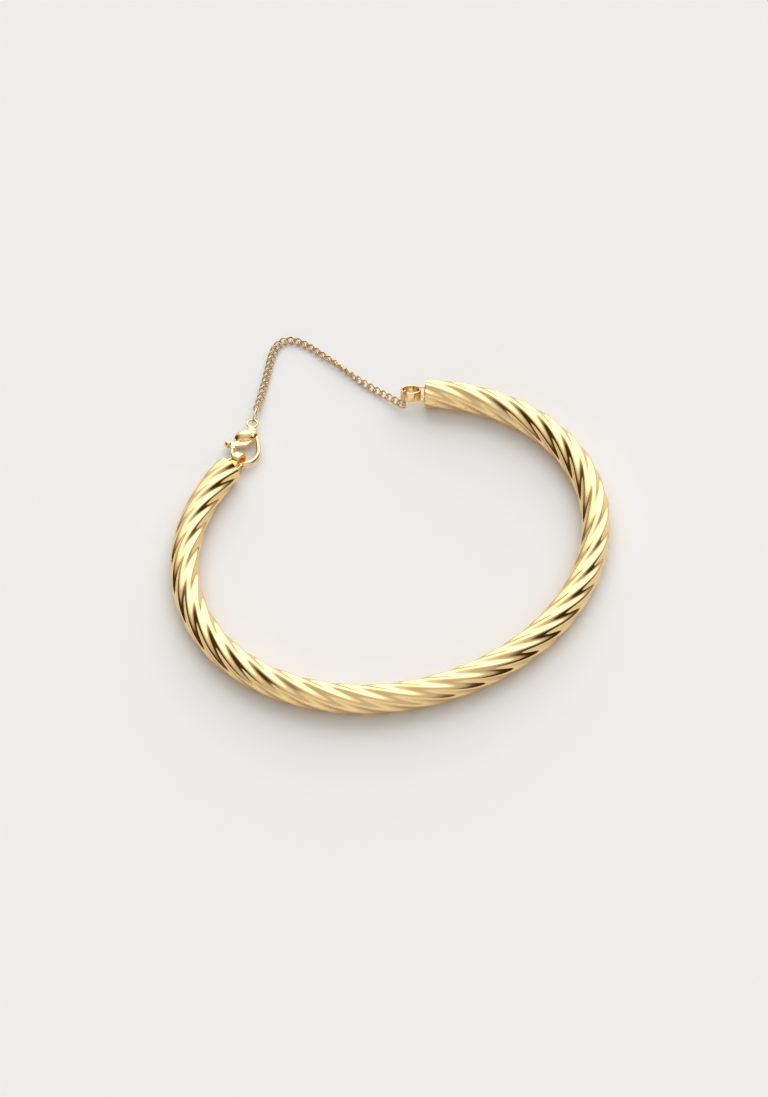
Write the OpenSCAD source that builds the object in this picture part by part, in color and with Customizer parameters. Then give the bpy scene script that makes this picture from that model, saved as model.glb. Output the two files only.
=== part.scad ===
// Twisted wire bangle: an open oval cuff of fluted rod, with a ring on each end,
// a short safety chain and a lobster clasp. It lies flat, +Z up, on the plane z = 0.
// The origin is the middle of the wrist opening. The cut ends face each other across +Y.

/* [Wrist opening] */
// Long way across the wrist opening, between the inner sides of the rod
wrist_long = 58.8; // [54:0.1:66]
// Short way across the wrist opening, between the inner sides of the rod
wrist_short = 48.4; // [44:0.1:56]
// Straight distance between the centres of the two cut ends
end_gap = 32.7; // [30:0.1:36]

/* [Twisted rod] */
// Diameter of the rod over the ridges
rod_d = 4.4; // [3.6:0.1:5.2]
// Number of strands twisted together
strands = 8; // [6:1:12]
// Depth of the grooves between strands
groove_depth = 0.24; // [0.1:0.01:0.4]
// Length of one full turn of a strand at the left end
pitch_left = 36.5; // [30:0.5:60]
// Length of one full turn of a strand at the right end
pitch_right = 39; // [30:0.5:60]
// Angle of the first groove from the top of the rod, at the left end
groove_start = 7.5; // [-22:0.5:22]

/* [End eyes] */
// Diameter of the wire of the soldered eyes
eye_wire = 0.36; // [0.3:0.02:0.4]
// Height of an eye over its wire
eye_height = 2.6; // [2.55:0.05:2.9]
// How far the left eye stands out of its cut end
left_reach = 1.7; // [1.5:0.05:1.8]
// How far the right eye stands out of its cut end
right_reach = 1.35; // [1.3:0.05:1.6]

/* [End rings] */
// Outer diameter of the left band ring
left_ring_d = 3; // [2.95:0.05:3.3]
// Outer diameter of the right band ring
right_ring_d = 3.25; // [3.2:0.05:3.4]
// Wall of the band rings
ring_wall = 0.36; // [0.3:0.02:0.4]
// Height of the left band ring
left_ring_height = 1.2; // [1:0.05:1.3]
// Height of the right band ring
right_ring_height = 1.5; // [1.3:0.05:1.55]
// Small bevel on the rims of the band rings
ring_bevel = 0.08; // [0.04:0.01:0.14]

/* [Chain] */
// Outer length of a curb link
link_len = 1.84; // [1.8:0.02:2]
// Outer width of a curb link
link_wid = 1.32; // [1.3:0.02:1.44]
// Wire of the curb links
chain_wire = 0.27; // [0.24:0.01:0.29]
// Wire of the two larger end links
end_link_wire = 0.26; // [0.22:0.01:0.27]
// Outer length of the end links
end_link_len = 2.82; // [2.8:0.02:2.9]
// Outer width of the end links
end_link_wid = 1.28; // [1.26:0.02:1.4]

/* [Clasp] */
// Length of the clasp over its eye and its hook
clasp_len = 9; // [8.8:0.1:10]
// Width of the clasp over its loop
clasp_wid = 4.7; // [4.5:0.1:5.2]
// Thickness of the clasp at its bulb
clasp_thick = 2.3; // [2.1:0.1:2.5]
// Width of the hook at the sides of its loop
hook_wid = 0.7; // [0.6:0.05:0.8]
// Thickness of the hook
hook_thick = 0.9; // [0.7:0.05:1]
// Outer diameter of the clasp's eye
clasp_eye_d = 1.85; // [1.8:0.05:2.2]
// Wire of the clasp's eye
clasp_eye_wire = 0.36; // [0.3:0.02:0.4]
// Thickness of the lever
lever_thick = 0.7; // [0.5:0.05:0.8]
// Diameter of the rivet that the lever turns on
rivet_d = 0.5; // [0.4:0.02:0.6]

/* [Clearances] */
// Gap between links that pass through each other
link_play = 0.13; // [0.11:0.01:0.16]
// Gap between a ring or end link and what it hangs on
hang_play = 0.09; // [0.08:0.01:0.1]
// Gap round the rivet in the lever
rivet_play = 0.04; // [0.02:0.01:0.08]
// Gap above and below the lever in its slot, and at its tip
lever_play = 0.06; // [0.04:0.01:0.1]

/* [Hidden] */
$fn = 48;

// Steps along the rod, and points across one strand
rod_steps = 100;
strand_points = 4;
// Sides of the links' wire
wire_sides = 5;
// Sides of the hook's section and steps along it
hook_sides = 12;
hook_steps = 20;

// Half axes of the oval that the middle of the rod follows
oval_a = wrist_long/2 + rod_d/2;
oval_b = wrist_short/2 + rod_d/2;
// Half of the oval that the gap takes, as the oval's own angle
gap_angle = asin(end_gap/2/oval_a);
rod_z = rod_d/2;

// Where the middle of the rod is, and which way it runs, at oval angle t
function oval_point(t) = [oval_a*cos(t), oval_b*sin(t), rod_z];
function unit(v) = v/norm(v);
function oval_run(t) = unit([-oval_a*sin(t), oval_b*cos(t), 0]);
function oval_angle(i) = 90 + gap_angle + i/rod_steps*(360 - 2*gap_angle);
rod_mid = [for (i = [0:rod_steps]) oval_point(oval_angle(i))];
rod_at = [for (i = 0, s = 0; i <= rod_steps;
               s = s + (i < rod_steps ? norm(rod_mid[i + 1] - rod_mid[i]) : 0), i = i + 1) s];
rod_len = rod_at[rod_steps];

// The turns grow evenly longer or shorter from the left end to the right end
function twist_at(s) = groove_start
    + 360*(s/pitch_left + (1/pitch_right - 1/pitch_left)*s*s/(2*rod_len));
// A strand's section is a smooth wave from groove to groove
function strand_radius(k) = rod_d/2 - groove_depth*pow(cos(180*k/strand_points), 2);
function rod_ring(i) =
    let (t = oval_angle(i), run = oval_run(t), out = [run[1], -run[0], 0],
         around = strands*strand_points)
    [for (j = [0:around - 1])
        let (a = twist_at(rod_at[i]) + 360*j/around, r = strand_radius(j % strand_points))
        oval_point(t) + r*(sin(a)*out + [0, 0, cos(a)])];

// Triangles between rings of m points each, and the lid over one ring
function skin(rings, m, closed, base = 0) =
    [for (i = [0:rings - (closed ? 1 : 2)], j = [0:m - 1])
        let (a = base + i*m + j, b = base + i*m + (j + 1) % m,
             c = base + ((i + 1) % rings)*m + (j + 1) % m, d = base + ((i + 1) % rings)*m + j)
        each [[a, c, b], [a, d, c]]];
function lid(m, first, turned) = [for (j = [0:m - 1]) first + (turned ? m - 1 - j : j)];
function joined(lists) = [for (l = lists) each l];

// A cut end of the rod: side is -1 for the left one and 1 for the right one
function end_point(side) = [side*end_gap/2, oval_b*cos(gap_angle), rod_z];
function end_out(side) = unit([-side*oval_a*cos(gap_angle), oval_b*sin(gap_angle), 0]);

// The left ring stands on edge and the right one lies leaning back. Each passes through
// its eye, pulled out until its wall is hang_play short of the eye's bar.
left_ring_axis = unit([0.57, -0.8, 0.12]);
right_ring_axis = unit([0.21, 0.45, 0.87]);
// An eye leans about the end's outward line until its height runs as its ring's axis
function eye_lean(side) =
    let (axis = side < 0 ? left_ring_axis : right_ring_axis, out = end_out(side))
    atan2(axis[0]*out[1] - axis[1]*out[0], axis[2]);
left_mid_r = (left_ring_d - ring_wall)/2;
right_mid_r = (right_ring_d - ring_wall)/2;
left_room = left_reach - eye_wire - hang_play;
right_room = right_reach - eye_wire - hang_play;
left_ring_z = left_ring_d/2*norm([left_ring_axis[0], left_ring_axis[1]])
    + left_ring_height/2*left_ring_axis[2] + 0.02;
// How far the turned wall of the left ring reaches either way, with a little to spare
left_skew = left_ring_axis*end_out(-1);
left_half = (left_ring_height*left_skew + ring_wall)/2 + 0.08;
left_ring_mid = end_point(-1) + [0, 0, left_ring_z - rod_z]
    + (left_room - left_half + sqrt(pow(left_mid_r, 2) - pow(rod_z - left_ring_z, 2)))*end_out(-1)
    + left_skew*left_mid_r/2*[-end_out(-1)[1], end_out(-1)[0], 0];
right_ring_mid = end_point(1) - [0, 0, 0.03]
    + (right_room - ring_wall/2 + right_mid_r)*end_out(1);

// Clasp places in its own plan: x across, y from the hook's bottom to the eye.
// Shares are of clasp_wid across and of clasp_len along.
clasp_turn = -32.5;
clasp_z = clasp_thick/2 + 0.03;
loop_mid = [-0.043*clasp_wid, 0.256*clasp_len];
loop_half = [(clasp_wid - hook_wid)/2, 0.24*clasp_len];
eye_mid = [0.021*clasp_wid, 0.95*clasp_len - clasp_eye_d/2];
bulb_mid = [-0.106*clasp_wid, 0.565*clasp_len];
bulb_half = [0.415*clasp_wid, clasp_thick/2];
bulb_tilt = 22;
pivot = [0.117*clasp_wid, 0.555*clasp_len];
belly = [-0.06*clasp_wid, 0.425*clasp_len];
gate = [-0.44*clasp_wid, 0.365*clasp_len];
tab = [-0.635*clasp_wid, 0.375*clasp_len];
lever_half = 0.085*clasp_wid;
tab_r = 0.13*clasp_wid;
tip_y = 0.268*clasp_len;
lever_swing = 18;
// Where the hook passes the middle of the left ring
hook_in_ring = [-0.21*clasp_wid, 0.018*clasp_len];
function turned(p, a) = [p[0]*cos(a) - p[1]*sin(a), p[0]*sin(a) + p[1]*cos(a)];
clasp_at = [left_ring_mid[0], left_ring_mid[1]] - turned(hook_in_ring, clasp_turn);
function on_clasp(p) = let (q = clasp_at + turned(p, clasp_turn)) [q[0], q[1], clasp_z];

// Centrelines of the links
link_cl = link_len - chain_wire;
link_cw = link_wid - chain_wire;
end_link_cl = end_link_len - end_link_wire;
end_link_cw = end_link_wid - end_link_wire;
// Two wires that cross inside each other's links, centre to centre
hook_up = (chain_wire + end_link_wire)/2 + link_play;

// The left end link stands on edge through the clasp's eye
left_link_angle = 52;
left_link_run = [cos(left_link_angle), sin(left_link_angle), 0];
left_link_mid = on_clasp(eye_mid)
    + (clasp_eye_d/2 - clasp_eye_wire - hang_play - end_link_wire/2 + end_link_cl/2)*left_link_run;
// The right end link hangs over the wall of the right ring, at its left
right_link_side = 56;
ring_left = unit(end_out(1) - (end_out(1)*right_ring_axis)*right_ring_axis);
ring_near = cross(ring_left, right_ring_axis);
right_link_dir = cos(right_link_side)*ring_left - sin(right_link_side)*ring_near;
right_pull = cross(right_ring_axis, right_link_dir);
right_link_lean = 8;
right_link_run = cos(right_link_lean)*right_ring_axis + sin(right_link_lean)*right_pull;
right_link_mid = right_ring_mid + right_mid_r*right_link_dir
    + (right_ring_height/2 + hang_play + end_link_wire/2)*right_ring_axis - end_link_cl/2*right_link_run;

// A curb link's ends are turned this far each way about its length
link_twist = 50;
link_points = 14;
function bulge(v, k) = sign(v)*pow(abs(v), k);
// The middle of a link's wire: length and width of that line, twist of its ends, place
function link_curve(len, wid, twist, a) =
    let (u = bulge(cos(a), 0.75), w = wid/2*bulge(sin(a), 0.85))
    [len/2*u, w*cos(twist*u), w*sin(twist*u)];

// The chain's route from the left end link to the right one, laid on the surface.
// Each row: x, y, lift above lying on the surface, roll of the link about the route
chain_lay = [
    [-6.45, 33.25, 0.3, 43],
    [-4.75, 35.65, 0.05, 45],
    [-2.9, 38.1, 0, 42],
    [-1.2, 40.8, 0, 25],
    [1.25, 42.75, 0, 8],
    [3.8, 41.05, 0, 2],
    [5.15, 38.2, 0, -5],
    [6.5, 35.5, 0, -22],
    [7.65, 32.7, 0, -70],
    [8.85, 29.9, 0, -115],
    [10.3, 27.3, 0, -132],
    [11.7, 24.8, 0.3, -136]
];
function lying_height(roll) = chain_wire/2 + 0.02
    + max([for (a = [0:15:345])
               let (c = link_curve(link_cl, link_cw, link_twist, a))
               abs(c[1]*sin(roll) + c[2]*cos(roll))]);
start_roll = 50;
end_roll = -136;
route_start = left_link_mid + (end_link_cl/2 - hook_up)*left_link_run;
// The last curb link's end wire passes beyond the foot of the right end link
foot_past = 0.38;
route_end = right_link_mid - end_link_cl/2*right_link_run + foot_past*right_pull;
route = [
    [route_start[0], route_start[1], route_start[2] - lying_height(start_roll), start_roll],
    each chain_lay,
    [route_end[0], route_end[1], route_end[2] - lying_height(end_roll), end_roll]
];
// A smooth curve led by the route's points, from the first to the last of them
smooth_steps = 10;
route_last = len(route) - 1;
led = [2*route[0] - route[1], each route, 2*route[route_last] - route[route_last - 1]];
function smooth(i, t) = (pow(1 - t, 3)*led[i] + (3*t*t*t - 6*t*t + 4)*led[i + 1]
    + (3*t + 3*t*t - 3*t*t*t + 1)*led[i + 2] + t*t*t*led[i + 3])/6;
curve = [for (i = [0:route_last - 1], k = [0:smooth_steps - 1]) smooth(i, k/smooth_steps),
         route[route_last]];
function place(p) = [p[0], p[1], p[2]];
curve_at = [for (i = 0, s = 0; i < len(curve);
                 s = s + (i < len(curve) - 1 ? norm(place(curve[i + 1]) - place(curve[i])) : 0),
                 i = i + 1) s];
curve_len = curve_at[len(curve) - 1];
curve_tables = [for (k = [0:3]) [for (i = [0:len(curve) - 1]) [curve_at[i], curve[i][k]]]];
function roll_at(s) = lookup(s, curve_tables[3]);
function on_route(s) = [for (k = [0:2]) lookup(s, curve_tables[k])]
    + [0, 0, lying_height(roll_at(s))];
link_pitch = link_cl - chain_wire - link_play;
link_gaps = ceil((curve_len - link_cl)/link_pitch);
link_step = (curve_len - link_cl)/link_gaps;

// Points of one link's wire, lying along x with its width along y
function link_wire(len, wid, twist, wire) = joined(
    [for (i = [0:link_points - 1])
        let (a = 360*(i + 0.5)/link_points, c = link_curve(len, wid, twist, a),
             run = unit(link_curve(len, wid, twist, a + 4) - link_curve(len, wid, twist, a - 4)),
             out = unit(c - (c*run)*run), up = cross(run, out))
        [for (j = [0:wire_sides - 1])
            c + wire/2*(cos(360*j/wire_sides)*out + sin(360*j/wire_sides)*up)]]);
// Placed with its length along run and its width along side, then rolled about run
function placed(points, mid, run, side, roll = 0) =
    let (s = unit(side - (side*run)*run), u = cross(run, s),
         y = cos(roll)*s + sin(roll)*u, z = cross(run, y))
    [for (p = points) mid + p[0]*run + p[1]*y + p[2]*z];
function curb_link(i) =
    let (s = link_cl/2 + i*link_step, a = on_route(s - link_cl/2), b = on_route(s + link_cl/2),
         run = unit(b - a))
    placed(link_wire(link_cl, link_cw, link_twist, chain_wire), (a + b)/2, run,
           cross([0, 0, 1], run), roll_at(s));

// A bar of round wire from one point to another
module bar(from, to, d) {
    v = to - from;
    translate(from)
        rotate([0, acos(v[2]/norm(v)), atan2(v[1], v[0])])
            cylinder(d = d, h = norm(v));
}

// Two round ends of a flat bar, joined by the straight sides that touch both
module flat_bar(p, p_r, q, q_r) {
    run = (q - p)/norm(q - p);
    side = [-run[1], run[0]];
    lean = asin((p_r - q_r)/norm(q - p));
    up = cos(lean)*side + sin(lean)*run;
    down = -cos(lean)*side + sin(lean)*run;
    translate(p) circle(r = p_r);
    translate(q) circle(r = q_r);
    polygon([p + p_r*up, q + q_r*up, q + q_r*down, p + p_r*down]);
}

// A quarter bend of the eye's wire about a point, from the given angle on
module eye_bend(mid_x, mid_z, r, from) {
    translate([mid_x, 0, mid_z]) rotate([90, 0, 0]) rotate([0, 0, from])
        rotate_extrude(angle = 90) translate([r, 0]) circle(d = eye_wire);
}

// Closed eye of bent wire, its height along z, soldered by its straight foot to a cut end
module end_eye(reach) {
    tip_r = 0.3;
    foot_r = 0.45;
    foot_x = -0.08;
    leg_z = (eye_height - eye_wire)/2;
    tip_x = reach - eye_wire/2;
    for (side = [-1, 1]) {
        bar([foot_x + foot_r, 0, side*leg_z], [tip_x - tip_r, 0, side*leg_z], eye_wire);
        eye_bend(tip_x - tip_r, side*(leg_z - tip_r), tip_r, side > 0 ? 0 : 270);
        eye_bend(foot_x + foot_r, side*(leg_z - foot_r), foot_r, side > 0 ? 90 : 180);
    }
    bar([tip_x, 0, tip_r - leg_z], [tip_x, 0, leg_z - tip_r], eye_wire);
    bar([foot_x, 0, foot_r - leg_z], [foot_x, 0, leg_z - foot_r], eye_wire);
}

module twisted_rod() {
    around = strands*strand_points;
    points = joined([for (i = [0:rod_steps]) rod_ring(i)]);
    faces = [
        each skin(rod_steps + 1, around, false),
        lid(around, 0, false),
        lid(around, rod_steps*around, true)
    ];
    color("gold") {
        polyhedron(points, faces, convexity = 8);
        for (side = [-1, 1])
            translate(end_point(side))
                rotate([0, 0, atan2(end_out(side)[1], end_out(side)[0])])
                    rotate([eye_lean(side), 0, 0]) end_eye(side < 0 ? left_reach : right_reach);
    }
}

module band_ring(mid, axis, d, height) {
    r = d/2;
    hole = r - ring_wall;
    h = height/2;
    b = ring_bevel;
    color("gold")
        translate(mid)
            rotate([0, acos(axis[2]), atan2(axis[1], axis[0])])
                rotate_extrude()
                    polygon([[hole, b - h], [hole + b, -h], [r - b, -h], [r, b - h],
                             [r, h - b], [r - b, h], [hole + b, h], [hole, h - b]]);
}

module left_ring() {
    band_ring(left_ring_mid, left_ring_axis, left_ring_d, left_ring_height);
}

module right_ring() {
    band_ring(right_ring_mid, right_ring_axis, right_ring_d, right_ring_height);
}

module chain() {
    end_wire = link_wire(end_link_cl, end_link_cw, 0, end_link_wire);
    links = [
        placed(end_wire, left_link_mid, left_link_run, [0, 0, 1]),
        each [for (i = [0:link_gaps]) curb_link(i)],
        placed(end_wire, right_link_mid, right_link_run, right_link_dir)
    ];
    per_link = link_points*wire_sides;
    color("goldenrod")
        polyhedron(joined(links),
                   joined([for (k = [0:len(links) - 1])
                              skin(link_points, wire_sides, true, k*per_link)]),
                   convexity = 10);
}

// The hook's middle line: from the neck down the right side, round the bottom
// and up the left side to its tip
hook_top = [0.09*clasp_wid, 0.72*clasp_len];
hook_bow = [0.33*clasp_wid, 0.5*clasp_len];
limb_end = 0.35;
loop_end = 0.95;
function hook_line(f) =
    let (right = loop_mid + [loop_half[0], 0], left = loop_mid - [loop_half[0], 0])
    f < limb_end ? let (g = f/limb_end)
        (1 - g)*(1 - g)*hook_top + 2*g*(1 - g)*hook_bow + g*g*right
    : f < loop_end ? let (a = -180*(f - limb_end)/(loop_end - limb_end))
        loop_mid + [loop_half[0]*cos(a), loop_half[1]*sin(a)]
    : let (g = (f - loop_end)/(1 - loop_end)) left + [0, g*(tip_y - left[1])];
// The hook is widest at its bottom and thins toward its tip
hook_swell = [[0, 1.15], [0.3, 1.05], [0.45, 1.15], [0.65, 1.3], [0.85, 1.05], [1, 0.85]];
function hook_ring(i) =
    let (f = i/hook_steps, p = hook_line(f),
         run = unit(hook_line(min(f + 0.01, 1)) - hook_line(max(f - 0.01, 0))),
         out = [-run[1], run[0]], wide = hook_wid/2*lookup(f, hook_swell),
         high = hook_thick/2*(1.05 - 0.15*f))
    [for (j = [0:hook_sides - 1])
        let (a = 360*j/hook_sides, w = wide*cos(a))
        [p[0] + w*out[0], p[1] + w*out[1], high*sin(a)]];

// Sets a piece that is drawn in the clasp's own plan in its place
module in_clasp() {
    translate([clasp_at[0], clasp_at[1], clasp_z]) rotate([0, 0, clasp_turn]) children();
}

// Room for the lever and its swing, cut through the lower left of the bulb
module lever_slot() {
    slot_h = lever_thick + 2*lever_play;
    room = lever_half + 2*lever_play;
    far = 0.9*clasp_wid;
    rest = unit(belly - pivot);
    open = turned(unit(gate - pivot), -lever_swing);
    low = [-rest[1], rest[0]];
    high = [open[1], -open[0]];
    translate([0, 0, -slot_h/2]) linear_extrude(slot_h) {
        translate(pivot) circle(r = room);
        polygon([pivot + room*low, pivot + room*low + far*rest,
                 pivot + far*open - far*low, pivot + room*high + far*open,
                 pivot + room*high]);
    }
}

module clasp_body() {
    points = joined([for (i = [0:hook_steps]) hook_ring(i)]);
    faces = [
        each skin(hook_steps + 1, hook_sides, false),
        lid(hook_sides, 0, false),
        lid(hook_sides, hook_steps*hook_sides, true)
    ];
    egg = [for (a = [-90:15:90]) [bulb_half[1]*cos(a), bulb_half[0]*sin(a)]];
    neck_r = 0.15*clasp_wid;
    color("gold") in_clasp() difference() {
        union() {
            translate([bulb_mid[0], bulb_mid[1], 0]) rotate([0, 90, bulb_tilt])
                rotate_extrude() polygon(egg);
            polyhedron(points, faces, convexity = 4);
            translate([eye_mid[0], eye_mid[1], 0])
                rotate_extrude() translate([(clasp_eye_d - clasp_eye_wire)/2, 0])
                    circle(d = clasp_eye_wire);
            bar([eye_mid[0] - 0.02*clasp_wid, bulb_mid[1] + 0.7*bulb_half[1], 0],
                [eye_mid[0], eye_mid[1] - clasp_eye_d/2 + clasp_eye_wire/2, 0], 2*neck_r);
        }
        lever_slot();
        translate([pivot[0], pivot[1], -clasp_thick]) cylinder(d = rivet_d, h = 2*clasp_thick);
    }
}

module clasp_lever() {
    tip_half = 0.8*lever_half;
    color("gold") in_clasp() difference() {
        union() {
            translate([0, 0, -lever_thick/2]) linear_extrude(lever_thick) {
                flat_bar(pivot, lever_half, belly, 1.1*lever_half);
                flat_bar(belly, 1.1*lever_half, gate, lever_half);
                flat_bar(pivot, lever_half, gate, lever_half);
                flat_bar(gate, lever_half, tab, lever_half);
                translate([loop_mid[0] - loop_half[0] - tip_half, tip_y + lever_play])
                    square([2*tip_half, gate[1] - tip_y]);
            }
            translate([tab[0], tab[1], 0]) sphere(r = tab_r);
        }
        translate([pivot[0], pivot[1], -clasp_thick])
            cylinder(d = rivet_d + 2*rivet_play, h = 2*clasp_thick);
    }
}

module clasp_rivet() {
    length = 0.82*clasp_thick;
    color("goldenrod") in_clasp()
        translate([pivot[0], pivot[1], -length/2]) cylinder(d = rivet_d, h = length);
}

twisted_rod();
left_ring();
right_ring();
chain();
clasp_body();
clasp_lever();
clasp_rivet();
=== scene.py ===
"""Looks of a twisted wire bangle with its safety chain and lobster clasp.

Every length is in millimetres until a mesh is made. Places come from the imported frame.
"""
import math
from types import SimpleNamespace

import bmesh
import bpy
from mathutils import Matrix, Vector


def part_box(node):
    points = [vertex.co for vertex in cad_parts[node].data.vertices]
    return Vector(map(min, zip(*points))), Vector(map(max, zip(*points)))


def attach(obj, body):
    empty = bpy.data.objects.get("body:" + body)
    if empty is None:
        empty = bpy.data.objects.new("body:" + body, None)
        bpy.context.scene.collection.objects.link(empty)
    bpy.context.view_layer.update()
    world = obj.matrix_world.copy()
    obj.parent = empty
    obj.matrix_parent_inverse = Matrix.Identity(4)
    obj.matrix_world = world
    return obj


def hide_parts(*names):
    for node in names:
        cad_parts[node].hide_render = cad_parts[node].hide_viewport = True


bl_info = {
    "name": "Twisted Wire Bangle",
    "version": (1, 0, 0),
    "blender": (4, 5, 0),
    "location": "3D View > Sidebar > Bangle",
    "description": "Gold bangle of twisted rod with a safety chain and a lobster clasp",
    "category": "Add Mesh",
}

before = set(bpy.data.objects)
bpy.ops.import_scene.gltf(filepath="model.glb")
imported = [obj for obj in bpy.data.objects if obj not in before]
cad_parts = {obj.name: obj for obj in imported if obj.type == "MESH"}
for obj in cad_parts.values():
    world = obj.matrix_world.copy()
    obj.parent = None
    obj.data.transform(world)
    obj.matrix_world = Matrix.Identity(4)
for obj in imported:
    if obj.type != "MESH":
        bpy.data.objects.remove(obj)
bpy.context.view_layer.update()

MM = 0.001
BODY = "bangle"
LEVER_BODY = "clasp_lever"
UP = Vector((0, 0, 1))


# Colours and small helpers

def linear(hex_colour):
    """An sRGB hex value as the linear red, green and blue that shaders take."""
    parts = [int(hex_colour[i:i + 2], 16) / 255 for i in (0, 2, 4)]
    return tuple(c / 12.92 if c <= 0.04045 else ((c + 0.055) / 1.055) ** 2.4 for c in parts)


def cad_middle(node):
    """Middle of a CAD node's box, in millimetres."""
    low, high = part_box(node)
    return (low + high) / 2 / MM


def across(v, run):
    """The part of v square to run, as a unit vector."""
    return (v - v.dot(run) * run).normalized()


# Sizes that the operators share

def length(name, about, mm):
    """A length property, kept in metres, from its size in millimetres."""
    return bpy.props.FloatProperty(name=name, description=about, default=mm * MM, min=0.0,
                                   precision=5, unit="LENGTH")


def in_mm(group):
    """A property group's values, its lengths in millimetres."""
    values = {}
    for prop in group.bl_rna.properties:
        if prop.identifier not in ("rna_type", "name"):
            value = getattr(group, prop.identifier)
            values[prop.identifier] = value / MM if prop.unit == "LENGTH" else value
    return SimpleNamespace(**values)


class BANGLE_PG_rod(bpy.types.PropertyGroup):
    """Sizes of the twisted rod and of the eyes in its ends."""
    wrist_long: length("Wrist Opening, Long", "Long way across the opening", 58.8)
    wrist_short: length("Wrist Opening, Short", "Short way across the opening", 48.4)
    end_gap: length("End Gap", "Distance between the cut ends' centres", 32.7)
    diameter: length("Rod Diameter", "Diameter over the ridges", 4.4)
    strands: bpy.props.IntProperty(name="Strands", description="Strands twisted together",
                                   default=8, min=3)
    groove: length("Groove Depth", "Depth of the grooves between strands", 0.24)
    pitch_left: length("Pitch, Left", "Length of a full turn at the left end", 36.5)
    pitch_right: length("Pitch, Right", "Length of a full turn at the right end", 39.0)
    start: bpy.props.FloatProperty(
        name="First Groove", description="Angle of the first groove from the top, at the left end",
        default=math.radians(7.5), subtype="ANGLE")
    edge: length("Cut Edge", "Rounding of the cut ends' edge", 0.12)
    eye_wire: length("Eye Wire", "Diameter of the soldered eyes' wire", 0.36)
    eye_height: length("Eye Height", "Height of an eye over its wire", 2.6)
    left_reach: length("Left Eye Reach", "How far the left eye stands out of its end", 1.7)
    right_reach: length("Right Eye Reach", "How far the right eye stands out of its end", 1.35)


class BANGLE_PG_ring(bpy.types.PropertyGroup):
    """Sizes of the band rings."""
    left_d: length("Left Diameter", "Outer diameter of the left ring", 3.0)
    right_d: length("Right Diameter", "Outer diameter of the right ring", 3.25)
    left_height: length("Left Height", "Height of the left ring", 1.2)
    right_height: length("Right Height", "Height of the right ring", 1.5)
    wall: length("Ring Wall", "Wall of the rings", 0.36)
    rim: length("Rim Rounding", "Rounding of the rims", 0.13)


class BANGLE_PG_chain(bpy.types.PropertyGroup):
    """Sizes of the chain's links."""
    link_len: length("Link Length", "Outer length of a curb link", 1.84)
    link_wid: length("Link Width", "Outer width of a curb link", 1.32)
    wire: length("Link Wire", "Wire of the curb links", 0.27)
    end_len: length("End Link Length", "Outer length of the end links", 2.82)
    end_wid: length("End Link Width", "Outer width of the end links", 1.28)
    end_wire: length("End Link Wire", "Wire of the end links", 0.26)
    twist: bpy.props.FloatProperty(name="Link Twist", description="Turn of a link's ends",
                                   default=math.radians(50), subtype="ANGLE")
    play: length("Link Play", "Gap between links that pass through each other", 0.13)
    hang: length("Hanging Play", "Gap between an end link and what it hangs on", 0.09)


class BANGLE_PG_clasp(bpy.types.PropertyGroup):
    """Sizes of the lobster clasp."""
    clasp_len: length("Clasp Length", "Length over the eye and the hook", 9.0)
    clasp_wid: length("Clasp Width", "Width over the loop", 4.7)
    clasp_thick: length("Clasp Thickness", "Thickness of the bulb", 2.3)
    hook_wid: length("Hook Width", "Width of the hook at its sides", 0.7)
    hook_thick: length("Hook Thickness", "Thickness of the hook", 0.9)
    eye_d: length("Eye Diameter", "Outer diameter of the eye", 1.85)
    eye_wire: length("Eye Wire", "Wire of the eye", 0.36)
    lever_thick: length("Lever Thickness", "Thickness of the lever", 0.7)
    rivet_d: length("Rivet Diameter", "Diameter of the rivet", 0.5)
    play: length("Lever Play", "Gap round the lever in its slot", 0.06)
    turn: bpy.props.FloatProperty(name="Clasp Turn", description="Turn of the clasp on the surface",
                                  default=math.radians(-32.5), subtype="ANGLE")


class BANGLE_PG_finish(bpy.types.PropertyGroup):
    """Colours and polish of the metal and the stage."""
    rod_gold: bpy.props.FloatVectorProperty(
        name="Rod Gold", description="Colour of the rod's plating", subtype="COLOR", size=3,
        default=linear("F4D398"), min=0.0, max=1.0)
    small_gold: bpy.props.FloatVectorProperty(
        name="Findings Gold", description="Colour of the rings and the clasp",
        subtype="COLOR", size=3, default=linear("F6D8A4"), min=0.0, max=1.0)
    # Darker than the other golds: painted shade for the shadows between the chain's links and their
    # darker reflections
    chain_gold: bpy.props.FloatVectorProperty(
        name="Chain Gold", description="Colour of the chain, duller than the clasp",
        subtype="COLOR", size=3, default=linear("DABD8E"), min=0.0, max=1.0)
    paper: bpy.props.FloatVectorProperty(
        name="Paper", description="Colour of the pale surface", subtype="COLOR", size=3,
        default=linear("FAF9F8"), min=0.0, max=1.0)
    polish: bpy.props.FloatProperty(name="Roughness", description="Roughness of the polished metal",
                                    default=0.12, min=0.0, max=1.0, subtype="FACTOR")


# Meshes

def skin(rings, closed=False):
    """Points and faces of a skin over rings of points, capped at its ends unless closed."""
    m, n = len(rings[0]), len(rings)
    points = [p for ring in rings for p in ring]
    faces = [(i * m + j, i * m + (j + 1) % m, (i + 1) % n * m + (j + 1) % m, (i + 1) % n * m + j)
             for i in range(n if closed else n - 1) for j in range(m)]
    if not closed:
        faces += [tuple(range(m))[::-1], tuple((n - 1) * m + j for j in range(m))]
    return points, faces


def joined(skins):
    """Several skins as one."""
    points, faces = [], []
    for some, more in skins:
        faces += [tuple(len(points) + i for i in face) for face in more]
        points += some
    return points, faces


def piece(name, points, faces, material, slot=None, body=None, stands_for=()):
    """A smooth mesh object from points in millimetres."""
    mesh = bpy.data.meshes.new(name)
    mesh.from_pydata([tuple(Vector(p) * MM) for p in points], [], faces)
    mesh.validate()
    mesh.shade_smooth()
    mesh.materials.append(material)
    obj = bpy.data.objects.new(name, mesh)
    bpy.context.scene.collection.objects.link(obj)
    if body:
        settle(obj, body, stands_for)
    return obj


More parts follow.
